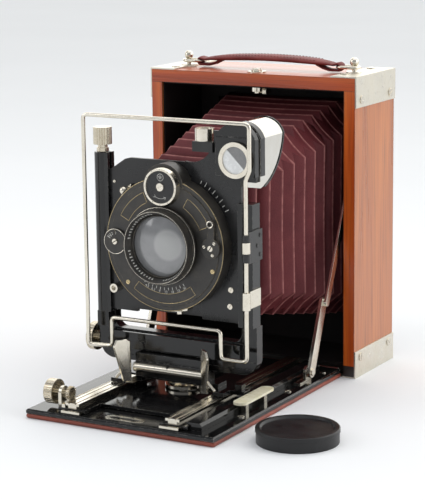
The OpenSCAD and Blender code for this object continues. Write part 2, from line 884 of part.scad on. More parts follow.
module speed_dial() {
    dial_back = shutter_face - 0.5;
    color("silver") translate([0, 0, dial_z]) {
        difference() {
            translate([0, dial_back, 0]) rotate([90, 0, 0])
                cylinder(r1 = 10.3, r2 = 9.5, h = dial_back - dial_front);
            rod_y(0, [dial_front - 1, dial_front + 0.7], 0, 8.4);
        }
        rod_y(0, [dial_back - e, shutter_face + 1.5], 0, 1.5);
        translate([0, dial_front + 0.7, 0]) rotate([90, 0, 0]) screw_head(2.1, h = 0.8, turn = 30);
    }
}

module mode_dial() {
    top = shutter_face - 0.8;
    color([0.16, 0.15, 0.14]) translate([mode_x, 0, mode_z]) {
        rod_y(0, [top - 1, top], 0, 6.7);
        rod_y(0, [top - e, shutter_face + 1.5], 0, 1.2);
        translate([0, top - 1, 0]) rotate([90, 0, 0]) screw_head(1.6, h = 0.5, turn = 60);
        slab([-0.3, 0.3], [top - 1.3, top - 1 + e], [3, 5.9]);
    }
}

// Turns its children about the lens axis
module rotate_about_lens(angle) {
    translate([0, 0, lens_z]) rotate([0, angle, 0]) translate([0, 0, -lens_z]) children();
}

// A tab and pointer that run round the rim of the shutter
module aperture_lever() {
    y = [-13.2, -12];
    color("silver") {
        intersection() {
            difference() {
                rod_y(0, y, lens_z, shutter_r + 1.4);
                rod_y(0, [y[0] - 1, y[1] + 1], lens_z, shutter_r + 0.3);
            }
            slab([-4, 10], [y[0] - 1, y[1] + 1], [40, lens_z]);
        }
        rotate_about_lens(-9) slab([-1.3, 1.3], [y[0] - 1, y[1]],
                                   [lens_z - shutter_r - 2.6, lens_z - shutter_r - 1]);
    }
}

// A three-lobed hub with an arm that ends in a small ring
module cocking_lever() {
    top = shutter_face - 0.8;
    hub = [hub_x, hub_z];
    tip = [hub_x + 0.8, hub_z + 12.7];
    color([0.2, 0.19, 0.18]) {
        rod_y(hub[0], [top - 1.2, top], hub[1], 5.2);
        rod_y(hub[0], [top - e, shutter_face + 1.5], hub[1], 1.2);
        hull() {
            rod_y(hub[0], [top - 1.2, top], hub[1] + 3, 2.2, $fn = 32);
            rod_y(tip[0], [top - 1.2, top], tip[1], 1.4, $fn = 32);
        }
        difference() {
            rod_y(tip[0], [top - 3, top - 1.2], tip[1], 2.1);
            rod_y(tip[0], [top - 4, top - 2], tip[1], 1);
        }
        for (a = [0, 120, 240])
            translate([hub[0] + 3.6 * sin(a + 20), top - 1.2, hub[1] - 3.6 * cos(a + 20)])
                rotate([90, 0, 0]) screw_head(0.9, h = 0.3, turn = a);
    }
}

// An arm from the rim with a ball for the finger
module release_lever() {
    ball = [-26.7, 112.2];
    color("silver") {
        translate([ball[0], -14, ball[1]]) sphere(r = 2.3);
        rod_y(ball[0], [-13.2, -10.4], ball[1], 1.1);
        intersection() {
            difference() {
                rod_y(0, [-11.6, -10.4], lens_z, shutter_r + 2.8);
                rod_y(0, [-12, -10], lens_z, shutter_r + 0.3);
            }
            slab([ball[0] - 3, ball[0] + 3], [-12, -10], [ball[1] - 4, ball[1] + 4]);
        }
    }
}

// A round nickel level with a sunken glass, on its bracket
module spirit_level() {
    color("silver") difference() {
        rod_z(level_x, level_y, [140.2, 146.6], 4.9);
        rod_z(level_x, level_y, [146, 148], 3.9);
    }
}

// ---------------------------------------------------------------- reflex finder

// The finder's outline: a square body with an arched top
module finder_outline(inset) {
    intersection() {
        translate([28 + inset, 124 + inset]) square([22.6 - 2 * inset, 28]);
        union() {
            translate([28 + inset, 124 + inset]) square([22.6 - 2 * inset, 16]);
            translate([finder_mid, 139]) circle(r = 12 - inset);
        }
    }
}

// The quarter-round side profile of the hood, r from the top front corner
module finder_profile(r) {
    translate([0, -13, 148]) rotate([0, 90, 0]) translate([0, 0, 20])
        cylinder(r = r, h = 40, $fn = 128);
}

module finder_front() {
    color([0.1, 0.1, 0.1]) {
        difference() {
            union() {
                translate([0, -10.3, 0]) rotate([90, 0, 0]) linear_extrude(3.7) finder_outline(0);
                rod_y(finder_x, [-10.3, -7.7], finder_z, neck_r);
            }
            rod_y(finder_x, [-15, -7], finder_z, 7);
            slab([20, 60], [-15, -13.7], [143.7, 144.2]);
        }
        translate([0, -3.4, 0]) rotate([90, 0, 0]) linear_extrude(4.3) difference() {
            finder_outline(0);
            finder_outline(0.38);
            translate([28.3, 123]) square([22, 3]);
        }
        intersection() {
            difference() {
                finder_profile(31.4);
                finder_profile(30.55);
            }
            translate([0, 30, 0]) rotate([90, 0, 0]) linear_extrude(33.4) difference() {
                union() {
                    finder_outline(0);
                    translate([28, 116]) square([22.6, 10]);
                }
                finder_outline(3);
                translate([31, 115]) square([16.6, 13]);
            }
        }
    }
}

module finder_ring() {
    color("silver") difference() {
        rod_y(finder_x, [-15.8, -14], finder_z, 9.2);
        rod_y(finder_x, [-17, -13], finder_z, 6.9);
    }
}

// The bright vaulted body behind the finder's front
module finder_hood() {
    color("gainsboro") difference() {
        union() {
            intersection() {
                translate([0, 17, 0]) rotate([90, 0, 0]) linear_extrude(24.7) finder_outline(0.4);
                finder_profile(30.5);
            }
            intersection() {
                slab([28.4, 50.2], [-7.7, 17], [117, 125]);
                finder_profile(30.5);
            }
        }
        intersection() {
            union() {
                translate([0, 16, 0]) rotate([90, 0, 0]) linear_extrude(22.7) finder_outline(1.4);
                slab([29.4, 49.2], [-6.7, 16], [118, 126]);
            }
            finder_profile(29.3);
        }
        rod_y(finder_x, [-9, -6], finder_z, 7);
    }
}

module finder_glass() {
    color("azure") rod_y(finder_x, [-15.2, -14.2], finder_z, 6.9);
}

// ---------------------------------------------------------------- bellows and cap

// A rectangle with cut corners
module bellows_outline(half, z, cut) {
    polygon([[-half, z[0] + cut], [-half + cut, z[0]], [half - cut, z[0]], [half, z[0] + cut],
             [half, z[1] - cut], [half - cut, z[1]], [-half + cut, z[1]], [-half, z[1] - cut]]);
}

// One end of the bellows as a thin plate
module bellows_end(y, half, z, cut) {
    translate([0, y + e, 0]) rotate([90, 0, 0]) linear_extrude(e)
        bellows_outline(half, z, cut);
}

module bellows() {
    color("brown") difference() {
        hull() {
            bellows_end(-3.9, bellows_half, [bellows_low, bellows_high], bellows_cut);
            bellows_end(118.5, 49, [25, 149], 13);
        }
        hull() {
            bellows_end(-4.5, bellows_half - 6, [bellows_low + 7, bellows_high - 7], bellows_cut - 3);
            bellows_end(119.5, 43, [32, 142], 10);
        }
    }
}

module lens_cap() {
    wall = 1;
    lip = 0.35;
    color([0.1, 0.1, 0.1]) translate([cap_x, cap_y, 0]) difference() {
        union() {
            cylinder(r = cap_r, h = cap_h - 2.2);
            translate([0, 0, cap_h - 2.2]) cylinder(r = cap_r + lip, h = 1.7);
            translate([0, 0, cap_h - 0.5]) cylinder(r1 = cap_r + lip, r2 = cap_r - 0.1, h = 0.5);
        }
        translate([0, 0, -1]) cylinder(r = cap_r - wall, h = cap_h - 1.2);
        translate([0, 0, cap_h - 1.1]) cylinder(r1 = cap_r - 2.8, r2 = cap_r - 1.8, h = 1.2);
    }
}

case_sides();
case_ends();
case_lining();
corner_plates();
case_screws();
top_fittings();
door_button();
handle_rings();
handle_strap();
back_frame();
glass_back();
ground_glass();
back_lid();
bed_board();
bed_plate();
bed_hinge();
bed_trim();
tripod_bush();
lock_ring();
track_guides();
bed_brackets();
scale_plate();
strut_left();
strut_right();
track_plate();
track_rails();
focus_rack();
focus_knob();
carriage_base();
carriage_bar();
grip_left();
grip_right();
u_frame();
left_pillar();
right_upright();
frame_hinge();
frame_clip();
rise_knob();
cross_knob();
wire_frame();
lens_board();
board_screws();
shutter();
shutter_trim();
lens_barrel();
lens_glass();
shutter_blades();
speed_dial();
mode_dial();
aperture_lever();
cocking_lever();
release_lever();
spirit_level();
finder_front();
finder_ring();
finder_hood();
finder_glass();
bellows();
lens_cap();
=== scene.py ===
import math

import bpy
from mathutils import Matrix, Vector


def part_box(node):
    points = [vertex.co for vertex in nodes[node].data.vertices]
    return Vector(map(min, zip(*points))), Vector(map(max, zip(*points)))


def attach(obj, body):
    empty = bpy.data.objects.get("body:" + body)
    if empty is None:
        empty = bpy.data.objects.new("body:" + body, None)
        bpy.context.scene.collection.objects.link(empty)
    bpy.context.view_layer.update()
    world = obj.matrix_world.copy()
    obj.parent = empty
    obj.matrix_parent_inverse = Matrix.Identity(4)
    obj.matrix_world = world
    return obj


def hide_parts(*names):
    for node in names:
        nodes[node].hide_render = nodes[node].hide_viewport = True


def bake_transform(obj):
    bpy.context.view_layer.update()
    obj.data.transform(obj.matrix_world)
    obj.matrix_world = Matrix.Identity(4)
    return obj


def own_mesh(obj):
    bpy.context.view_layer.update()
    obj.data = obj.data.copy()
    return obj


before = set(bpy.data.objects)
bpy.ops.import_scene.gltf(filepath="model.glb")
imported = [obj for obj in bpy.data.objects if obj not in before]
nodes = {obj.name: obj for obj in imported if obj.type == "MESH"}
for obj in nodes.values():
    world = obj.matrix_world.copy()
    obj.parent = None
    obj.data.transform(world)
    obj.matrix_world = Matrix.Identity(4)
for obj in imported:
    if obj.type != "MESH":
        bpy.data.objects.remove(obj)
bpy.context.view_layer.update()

MM = 0.001


# ---------------------------------------------------------------- sizes read from the frame, in millimetres

def low(node):
    """A CAD node's lowest corner, in millimetres."""
    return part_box(node)[0] / MM


def high(node):
    """A CAD node's highest corner, in millimetres."""
    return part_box(node)[1] / MM


def middle(node):
    """The middle of a CAD node's box, in millimetres."""
    return (low(node) + high(node)) / 2


lens = middle("lens_barrel")
face_y = low("shutter").y
board_y = high("board_screws").y
dial = middle("speed_dial")
dial_face = low("speed_dial").y + 0.77
mode = middle("mode_dial")
mode_face = low("mode_dial").y + 0.5
wire_y = middle("wire_frame").y


# ---------------------------------------------------------------- camera

def make_camera():
    """A long lens at the front right corner, a little above the camera's top."""
    yaw = math.radians(29.447)
    pitch = math.radians(11.637)
    roll = math.radians(-0.679)
    forward = Vector((-math.sin(yaw) * math.cos(pitch), math.cos(yaw) * math.cos(pitch), -math.sin(pitch)))
    level_right = Vector((math.cos(yaw), math.sin(yaw), 0))
    level_up = level_right.cross(forward)
    right = level_right * math.cos(roll) + level_up * math.sin(roll)
    up = level_up * math.cos(roll) - level_right * math.sin(roll)
    data = bpy.data.cameras.new("camera")
    data.sensor_width = 36
    data.lens = 133.9
    data.clip_start = 0.05
    data.clip_end = 50
    camera = bpy.data.objects.new("camera", data)
    bpy.context.scene.collection.objects.link(camera)
    turn = Matrix((right, up, -forward)).transposed().to_4x4()
    camera.matrix_world = Matrix.Translation((0.4803, -0.8192, 0.2759)) @ turn
    bpy.context.scene.camera = camera


make_camera()


# ---------------------------------------------------------------- materials

class Surface:
    """A material in the making: a Principled shader, and a short call for each kind of node."""

    def __init__(self, name, **sockets):
        self.material = bpy.data.materials.new(name)
        self.material.use_nodes = True
        self.tree = self.material.node_tree
        self.shader = self.tree.nodes["Principled BSDF"]
        self.place = self.add("ShaderNodeTexCoord").outputs["Object"]
        for socket, value in sockets.items():
            self.set(self.shader.inputs[socket.replace("_", " ")], value)

    def set(self, socket, value):
        if isinstance(value, bpy.types.NodeSocket):
            self.tree.links.new(value, socket)
        elif isinstance(value, tuple) and len(value) == 3 and socket.type == "RGBA":
            socket.default_value = (*value, 1)
        else:
            socket.default_value = value

    def add(self, kind, **inputs):
        made = self.tree.nodes.new(kind)
        for key, value in inputs.items():
            self.set(made.inputs[key], value)
        return made

    def stretched(self, stretch, turn=(0, 0, 0)):
        turned = self.add("ShaderNodeMapping", Vector=self.place, Rotation=turn)
        return self.add("ShaderNodeMapping", Vector=turned.outputs[0], Scale=stretch).outputs[0]

    def noise(self, scale, detail=4.0, rough=0.55, stretch=(1, 1, 1), turn=(0, 0, 0), warp=0.0):
        made = self.add("ShaderNodeTexNoise", Vector=self.stretched(stretch, turn), Scale=scale,
                        Detail=detail, Roughness=rough, Distortion=warp)
        return made.outputs["Fac"]

    def cells(self, scale, stretch=(1, 1, 1), turn=(0, 0, 0)):
        made = self.add("ShaderNodeTexVoronoi", Vector=self.stretched(stretch, turn), Scale=scale)
        return made.outputs["Distance"]

    def ramp(self, value, *stops):
        made = self.add("ShaderNodeValToRGB", Fac=value)
        line = made.color_ramp
        while len(line.elements) < len(stops):
            line.elements.new(0.5)
        for element, (place, colour) in zip(line.elements, stops):
            element.position = place
            element.color = (*colour, 1) if isinstance(colour, tuple) else (colour, colour, colour, 1)
        return made.outputs["Color"]

    def math(self, operation, a, b=0.0):
        made = self.tree.nodes.new("ShaderNodeMath")
        made.operation = operation
        self.set(made.inputs[0], a)
        self.set(made.inputs[1], b)
        return made.outputs[0]

    def mix(self, share, a, b, blend="MIX"):
        made = self.tree.nodes.new("ShaderNodeMix")
        made.data_type = "RGBA"
        made.blend_type = blend
        self.set(made.inputs["Factor"], share)
        self.set(made.inputs["A"], a)
        self.set(made.inputs["B"], b)
        return made.outputs["Result"]

    def rounded(self, radius):
        """The normal with its edges rounded off."""
        made = self.add("ShaderNodeBevel", Radius=radius * MM)
        made.samples = 4
        return made.outputs[0]

    def edges(self, radius, reach=0.25):
        """1 along the sharp edges, fading to 0 a radius away."""
        true = self.add("ShaderNodeNewGeometry").outputs["True Normal"]
        made = self.tree.nodes.new("ShaderNodeVectorMath")
        made.operation = "DOT_PRODUCT"
        self.set(made.inputs[0], self.rounded(radius))
        self.set(made.inputs[1], true)
        bent = self.math("SUBTRACT", 1.0, made.outputs["Value"])
        return self.math("MINIMUM", self.math("DIVIDE", bent, reach), 1.0)

    def bump(self, height, distance, strength=1.0, under=None):
        made = self.add("ShaderNodeBump", Height=height, Distance=distance * MM, Strength=strength)
        if under is not None:
            self.set(made.inputs["Normal"], under)
        return made.outputs[0]

    def finish(self, **sockets):
        for socket, value in sockets.items():
            self.set(self.shader.inputs[socket.replace("_", " ")], value)
        return self.material


def teak(name, along):
    """Oiled teak with its grain along an axis, 0 for X and 2 for Z; a paler painted sheen is laid on the
    outer (±X) sides.
    """
    s = Surface(name, Specular_IOR_Level=0.5, Coat_Weight=0.35, Coat_Roughness=0.22)
    slow = tuple(0.045 if i == along else 1.0 for i in range(3))
    slower = tuple(0.012 if i == along else 1.0 for i in range(3))
    bands = s.noise(95, 3.0, 0.6, slow, warp=0.8)
    pores = s.noise(1500, 2.0, 0.7, slower)
    figure = s.ramp(bands, (0.28, (0.25, 0.026, 0.002)), (0.5, (0.47, 0.066, 0.004)),
                    (0.72, (0.66, 0.140, 0.010)))
    # painted sheen: a paler, pinker copy of the wood colour, used on the sides that face ±X
    painted_sheen = s.ramp(bands, (0.25, (0.31, 0.090, 0.022)), (0.5, (0.43, 0.140, 0.036)),
                  (0.75, (0.53, 0.195, 0.058)))
    facing = s.add("ShaderNodeSeparateXYZ", Vector=s.add("ShaderNodeNewGeometry").outputs["True Normal"])
    # faces turned to ±X get the painted sheen
    outer = s.math("GREATER_THAN", s.math("ABSOLUTE", facing.outputs["X"]), 0.7)
    wood = s.mix(s.math("MULTIPLY", outer, 0.85), figure, painted_sheen)
    dark = s.ramp(pores, (0.33, 0.45), (0.47, 1.0))
    grained = s.mix(0.7, wood, dark, "MULTIPLY")
    handled = s.mix(s.math("MULTIPLY", s.edges(0.9), 0.75), grained, (0.050, 0.012, 0.006))
    # near-black below 6.8 mm height: the wood is much darker towards the bottom
    height = s.add("ShaderNodeSeparateXYZ", Vector=s.place).outputs["Z"]
    bottom_darkened = s.mix(s.math("LESS_THAN", height, 6.8 * MM), handled, (0.012, 0.010, 0.009))
    relief = s.bump(pores, 0.08, 0.5, s.rounded(0.5))
    gloss = s.ramp(bands, (0.3, 0.24), (0.7, 0.36))
    return s.finish(Base_Color=bottom_darkened, Roughness=gloss, Normal=relief)


def bed_wood():
    s = Surface("bed_wood", Specular_IOR_Level=0.4, Coat_Weight=0.2, Coat_Roughness=0.35)
    bands = s.noise(120, 4.0, 0.6, (0.05, 1, 1), warp=0.5)
    pores = s.noise(1300, 2.0, 0.7, (0.02, 1, 1))
    wood = s.ramp(bands, (0.3, (0.13, 0.022, 0.012)), (0.6, (0.27, 0.055, 0.03)), (0.8, (0.36, 0.09, 0.05)))
    worn = s.mix(s.math("MULTIPLY", s.edges(0.8), s.noise(260)), wood, (0.42, 0.17, 0.11))
    relief = s.bump(pores, 0.1, 0.6, s.rounded(1.1))
    return s.finish(Base_Color=worn, Roughness=s.ramp(bands, (0.3, 0.45), (0.7, 0.6)), Normal=relief)


def lacquer(name, gloss, wear, grey=0.005):
    """Black stove enamel over brass. gloss is its roughness, wear how far its edges are rubbed."""
    s = Surface(name, Specular_IOR_Level=0.5)
    cloud = s.noise(70, 5.0, 0.65)
    fine = s.noise(2600, 2.0, 0.5)
    base = s.ramp(cloud, (0.35, (grey, grey, grey * 1.05)), (0.7, (grey * 1.9, grey * 1.85, grey * 1.8)))
    chips = s.ramp(s.noise(420, 5.0, 0.7), (0.48, 0.0), (0.56, 1.0))
    rub = s.math("MULTIPLY", s.edges(0.45), chips)
    worn = s.mix(s.math("MULTIPLY", rub, wear), base, (0.42, 0.40, 0.37))
    dust = s.ramp(s.cells(900), (0.02, 1.0), (0.06, 0.0))
    dusty = s.mix(s.math("MULTIPLY", dust, 0.05), worn, (0.5, 0.5, 0.48))
    rough = s.ramp(cloud, (0.3, gloss * 0.75), (0.75, gloss * 1.35))
    relief = s.bump(fine, 0.02, 0.25, s.rounded(0.3))
    return s.finish(Base_Color=dusty, Roughness=rough, Normal=relief)


def nickel(name, colour=(0.78, 0.74, 0.66), rough=0.15, tarnish=0.22):
    """Old nickel plate: warm, clouded, with fine scratches and dull yellow where it has worn."""
    s = Surface(name, Metallic=1.0)
    cloud = s.noise(140, 5.0, 0.6)
    spots = s.ramp(s.noise(520, 4.0, 0.7), (0.55, 0.0), (0.68, 1.0))
    dull = s.mix(cloud, colour, tuple(c * k for c, k in zip(colour, (0.86, 0.83, 0.76))))
    aged = s.mix(s.math("MULTIPLY", spots, tarnish), dull, (0.34, 0.27, 0.16))
    scratch = s.noise(900, 3.0, 0.6, (1, 0.06, 0.06), (0.3, 0.5, 0.7))
    gloss = s.ramp(cloud, (0.3, rough * 0.8), (0.7, rough * 1.5))
    relief = s.bump(scratch, 0.012, 0.35, s.rounded(0.22))
    return s.finish(Base_Color=aged, Roughness=gloss, Normal=relief)


def leather(name, deep, pale, crease=None, grain=1500):
    """Thin dyed leather with a fine grain; crease names the mesh attribute of its rubbed ridges."""
    s = Surface(name, Specular_IOR_Level=0.22)
    cloud = s.noise(60, 5.0, 0.6)
    grains = s.cells(grain)
    weave = s.noise(1900, 3.0, 0.6, (1, 0.35, 0.35), (0.4, 0.8, 0.5))
    dye = s.ramp(cloud, (0.3, deep), (0.75, pale))
    pitted = s.mix(0.35, dye, s.ramp(grains, (0.0, 0.45), (0.5, 1.0)), "MULTIPLY")
    if crease:
        rubbed = s.add("ShaderNodeAttribute")
        rubbed.attribute_name = crease
        line = s.ramp(rubbed.outputs["Fac"], (0.82, 0.0), (0.97, 1.0))
        patchy = s.math("MULTIPLY", line, s.ramp(s.noise(330, 4.0), (0.3, 0.35), (0.65, 1.0)))
        pitted = s.mix(patchy, pitted, (0.42, 0.17, 0.155))
    height = s.math("ADD", grains, s.math("MULTIPLY", weave, 0.8))
    relief = s.bump(height, 0.10, 0.7)
    return s.finish(Base_Color=pitted, Roughness=s.ramp(cloud, (0.3, 0.46), (0.7, 0.62)), Normal=relief)


def shutter_enamel(name, rub=0.6):
    """Satin black enamel turned brown-grey by handling, with brass at the rubbed edges."""
    s = Surface(name, Specular_IOR_Level=0.5)
    cloud = s.noise(85, 6.0, 0.7)
    patina = s.ramp(cloud, (0.3, (0.020, 0.019, 0.018)), (0.55, (0.040, 0.036, 0.031)),
                    (0.78, (0.085, 0.074, 0.058)))
    chips = s.ramp(s.noise(500, 5.0, 0.7), (0.46, 0.0), (0.58, 1.0))
    edge = s.math("MULTIPLY", s.math("MULTIPLY", s.edges(0.4), chips), rub)
    worn = s.mix(edge, patina, (0.45, 0.36, 0.20))
    relief = s.bump(s.noise(2300, 2.0), 0.02, 0.3, s.rounded(0.3))
    return s.finish(Base_Color=worn, Roughness=s.ramp(cloud, (0.3, 0.30), (0.7, 0.44)), Normal=relief)


def lining():
    s = Surface("lining", Specular_IOR_Level=0.25)
    cloth = s.noise(1600, 3.0, 0.7)
    dye = s.ramp(s.noise(50), (0.3, (0.006, 0.005, 0.005)), (0.7, (0.016, 0.011, 0.010)))
    return s.finish(Base_Color=dye, Roughness=0.75, Normal=s.bump(cloth, 0.08, 0.5))


def ivory():
    s = Surface("ivory", Specular_IOR_Level=0.45)
    age = s.ramp(s.noise(190, 5.0), (0.3, (0.74, 0.68, 0.46)), (0.7, (0.86, 0.82, 0.66)))
    stain = s.ramp(s.noise(420, 4.0), (0.6, 0.0), (0.7, 1.0))
    aged = s.mix(s.math("MULTIPLY", stain, 0.4), age, (0.42, 0.38, 0.16))
    rimmed = s.mix(s.edges(0.4), aged, (0.62, 0.56, 0.42))
    return s.finish(Base_Color=rimmed, Roughness=0.32, Normal=s.rounded(0.3))


def lens_surface():
    """Clouded old glass: it gives back the room's light, with a painted reflection: a soft bright disc, as
    from an inner element.
    """
    s = Surface("lens_glass", Specular_IOR_Level=0.8, Coat_Weight=1.0, Coat_Roughness=0.02)
    haze = s.ramp(s.noise(110, 4.0), (0.3, (0.19, 0.192, 0.195)), (0.75, (0.27, 0.27, 0.272)))
    # painted reflection: a soft bright disc a little off the lens centre, where an inner element would
    # reflect the light
    place = s.add("ShaderNodeVectorMath", Vector=s.place)
    place.operation = "DISTANCE"
    s.set(place.inputs[1], (lens.x * MM + 0.0052, low("lens_glass").y * MM, lens.z * MM + 0.0012))
    disc = s.ramp(s.math("DIVIDE", place.outputs["Value"], 0.02), (0.36, 0.75), (0.44, 0.0))
    glass_with_painted_reflection = s.mix(disc, haze, (0.40, 0.40, 0.39))
    return s.finish(Base_Color=glass_with_painted_reflection, Roughness=0.16)


def mirror_glass():
    """The finder's glass, which shows the lit half of its mirror as a painted reflection: bright on one
    side of a slant line, dark on the other.
    """
    s = Surface("mirror_glass", Specular_IOR_Level=0.8, Coat_Weight=1.0, Coat_Roughness=0.03)
    parts = s.add("ShaderNodeSeparateXYZ", Vector=s.place)
    ring = middle("finder_ring") * MM
    across = s.math("SUBTRACT", parts.outputs["X"], ring.x)
    upward = s.math("SUBTRACT", parts.outputs["Z"], ring.z)
    # painted reflection: bright on one side of a slant line through the finder ring, dark on the other
    slant = s.math("DIVIDE", s.math("ADD", across, upward), 0.01)
    painted_light = s.ramp(slant, (0.02, (0.86, 0.87, 0.86)), (0.10, (0.17, 0.17, 0.17)))
    dust = s.ramp(s.noise(700, 4.0), (0.45, 0.75), (0.7, 1.0))
    return s.finish(Base_Color=s.mix(0.6, painted_light, dust, "MULTIPLY"), Roughness=0.12)


def frosted_glass():
    s = Surface("frosted_glass", Specular_IOR_Level=0.5)
    frost = s.noise(2400, 2.0)
    tint = s.ramp(s.noise(40), (0.3, (0.52, 0.57, 0.56)), (0.7, (0.64, 0.68, 0.66)))
    return s.finish(Base_Color=tint, Roughness=0.55, Normal=s.bump(frost, 0.02, 0.4))


def cap_black():
    s = Surface("cap_black", Specular_IOR_Level=0.45)
    cloud = s.noise(150, 5.0, 0.6)
    tone = s.ramp(cloud, (0.3, (0.004, 0.004, 0.0045)), (0.7, (0.011, 0.011, 0.012)))
    relief = s.bump(s.cells(1300), 0.05, 0.4, s.rounded(0.4))
    return s.finish(Base_Color=tone, Roughness=s.ramp(cloud, (0.3, 0.30), (0.7, 0.46)), Normal=relief)


def paint_white():
    s = Surface("mark_white", Specular_IOR_Level=0.3)
    tone = s.ramp(s.noise(900, 4.0), (0.3, (0.45, 0.44, 0.40)), (0.65, (0.80, 0.79, 0.74)))
    return s.finish(Base_Color=tone, Roughness=0.5)


BODY_NICKEL = nickel("nickel")
KNURL_NICKEL = nickel("nickel_knurled", (0.68, 0.62, 0.51), 0.20, 0.30)
PLATE_NICKEL = nickel("nickel_plate", (0.76, 0.73, 0.66), 0.30, 0.18)
TRIM_BRASS = nickel("worn_brass", (0.62, 0.50, 0.29), 0.25, 0.5)
CHROME = nickel("bright_nickel", (0.72, 0.71, 0.68), 0.07, 0.08)
GLOSS = lacquer("lacquer_gloss", 0.10, 0.5)
BED_GLOSS = lacquer("lacquer_bed", 0.09, 1.0)
SATIN = lacquer("lacquer_satin", 0.30, 0.25, 0.012)
ENAMEL = shutter_enamel("shutter_enamel")
BARREL = shutter_enamel("barrel_black", 0.35)
MARK = paint_white()
BELLOWS = leather("bellows_leather", (0.100, 0.016, 0.020), (0.160, 0.034, 0.038), "ridge")
STRAP = leather("strap_leather", (0.15, 0.022, 0.022), (0.27, 0.068, 0.062), grain=1100)

FINISHES = {
    "case_sides": teak("teak_upright", 2),
    "case_ends": teak("teak_across", 0),
    "bed_board": bed_wood(),
    "bed_plate": BED_GLOSS,
    "scale_plate": ivory(),
    "lens_glass": lens_surface(),
    "finder_glass": mirror_glass(),
    "ground_glass": frosted_glass(),
    "lens_cap": cap_black(),
    "finder_hood": CHROME,
    "shutter_trim": TRIM_BRASS,
    "shutter_blades": nickel("blade_steel", (0.32, 0.33, 0.35), 0.35, 0.2),
    "lens_barrel": BARREL,
}
FINISHES.update(dict.fromkeys(["case_lining", "back_frame"], lining()))
FINISHES.update(dict.fromkeys(["glass_back", "back_lid"], lacquer("back_enamel", 0.38, 0.35, 0.020)))
FINISHES.update(dict.fromkeys(["lens_board", "frame_hinge"], SATIN))
FINISHES.update(dict.fromkeys(["track_guides", "track_plate", "carriage_base", "u_frame", "left_pillar",
                               "right_upright", "finder_front"], GLOSS))
FINISHES.update(dict.fromkeys(["shutter", "mode_dial", "cocking_lever"], ENAMEL))
FINISHES.update(dict.fromkeys(["focus_knob", "rise_knob", "cross_knob"], KNURL_NICKEL))
FINISHES["corner_plates"] = PLATE_NICKEL


def finish_nodes():
    """Gives every CAD node its material."""
    for name, node in nodes.items():
        material = FINISHES.get(name, BODY_NICKEL)
        if not node.data.materials:
            node.data.materials.append(material)
        for i in range(len(node.data.materials)):
            node.data.materials[i] = material


finish_nodes()


# ---------------------------------------------------------------- mesh helpers

def piece(name, points, faces, material, body, smooth=True, angle=40):
    """A mesh from points in millimetres, riding on a body."""
    mesh = bpy.data.meshes.new(name)
    mesh.from_pydata([Vector(p) * MM for p in points], [], faces)
    mesh.validate()
    mesh.materials.append(material)
    if smooth:
        mesh.polygons.foreach_set("use_smooth", [True] * len(mesh.polygons))
        mesh.set_sharp_from_angle(angle=math.radians(angle))
    made = bpy.data.objects.new(name, mesh)
    bpy.context.scene.collection.objects.link(made)
    if body:
        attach(made, body)
    return made


def swept(path, outline, closed=False):
    """Points and faces of an outline carried along a path. outline(i) gives (across, up) pairs."""
    count = len(path)
    points = []
    side = None
    for i, here in enumerate(path):
        before = path[i - 1] if closed or i else path[i]
        after = path[(i + 1) % count] if closed or i < count - 1 else path[i]
        along = (Vector(after) - Vector(before)).normalized()
        if side is None:
            side = along.cross(Vector((0, 1, 0)))
            if side.length < 0.1:
                side = along.cross(Vector((0, 0, 1)))
        side = (side - along * side.dot(along)).normalized()
        rise = along.cross(side)
        for across, up in outline(i):
            points.append(Vector(here) + side * across + rise * up)
    ring = len(points) // count
    faces = []
    for i in range(count if closed else count - 1):
        a = i * ring
        b = (i + 1) % count * ring
        for j in range(ring):
            k = (j + 1) % ring
            faces.append((a + j, a + k, b + k, b + j))
    if not closed:
        faces.append(tuple(range(ring)))
        faces.append(tuple(range(len(points) - 1, len(points) - 1 - ring, -1)))
    return points, faces


def circle(radius, count=12):
    return [(radius * math.cos(2 * math.pi * i / count), radius * math.sin(2 * math.pi * i / count))
            for i in range(count)]


def tube(name, path, radius, material, body, closed=False, sides=12):
    """A round wire along a path."""
    outline = circle(radius, sides)
    points, faces = swept(path, lambda i: outline, closed)
    return piece(name, points, faces, material, body)


def rounded_path(corners, radius, steps=6):
    """A closed path round the corners, each turned on an arc of that radius."""
    path = []
    count = len(corners)
    for i, corner in enumerate(corners):
        corner = Vector(corner)
        back = Vector(corners[i - 1]) - corner
        on = Vector(corners[(i + 1) % count]) - corner
        angle = back.angle(on)
        if angle > math.radians(176):
            path.append(corner)
            continue
        reach = min(radius / math.tan(angle / 2), back.length * 0.45, on.length * 0.45)
        start = corner + back.normalized() * reach
        end = corner + on.normalized() * reach
        for k in range(steps + 1):
            t = k / steps
            path.append(start * (1 - t) ** 2 + corner * 2 * t * (1 - t) + end * t * t)
    return path


def joined(parts):
    """Several (points, faces) as one."""
    points, faces = [], []
    for more_points, more_faces in parts:
        start = len(points)
        points += more_points
        faces += [tuple(start + i for i in face) for face in more_faces]
    return points, faces


def block(lowest, highest):
    """A box between two corners."""
    (a, b, c), (d, e, f) = lowest, highest
    points = [(a, b, c), (d, b, c), (d, e, c), (a, e, c), (a, b, f), (d, b, f), (d, e, f), (a, e, f)]
    faces = [(0, 3, 2, 1), (4, 5, 6, 7), (0, 1, 5, 4), (1, 2, 6, 5), (2, 3, 7, 6), (3, 0, 4, 7)]
    return points, faces


def spoke(centre, y, inner, outer, angle, width, depth=0.12):
    """A small bar on a face turned to -Y, along a radius. The angle runs clockwise from the top."""
    points, faces = block((-width / 2, -depth, inner), (width / 2, 0, outer))
    c, s = math.cos(angle), math.sin(angle)
    turned = [(centre[0] + x * c + z * s, y + d, centre[1] - x * s + z * c) for x, d, z in points]
    return turned, faces


def arc(centre, y, radius, start, end, steps=24):
    """Points on an arc that faces -Y, with angles clockwise from the top in degrees."""
    turn = [math.radians(start + (end - start) * i / steps) for i in range(steps + 1)]
    return [Vector((centre[0] + radius * math.sin(a), y, centre[1] + radius * math.cos(a))) for a in turn]


def ring(name, centre, y, radius, thick, material, body, slot, sides=8, steps=72):
    path = arc(centre, y, radius, 0, 360, steps)[:-1]
    return tube(name, path, thick, material, body, True, sides)


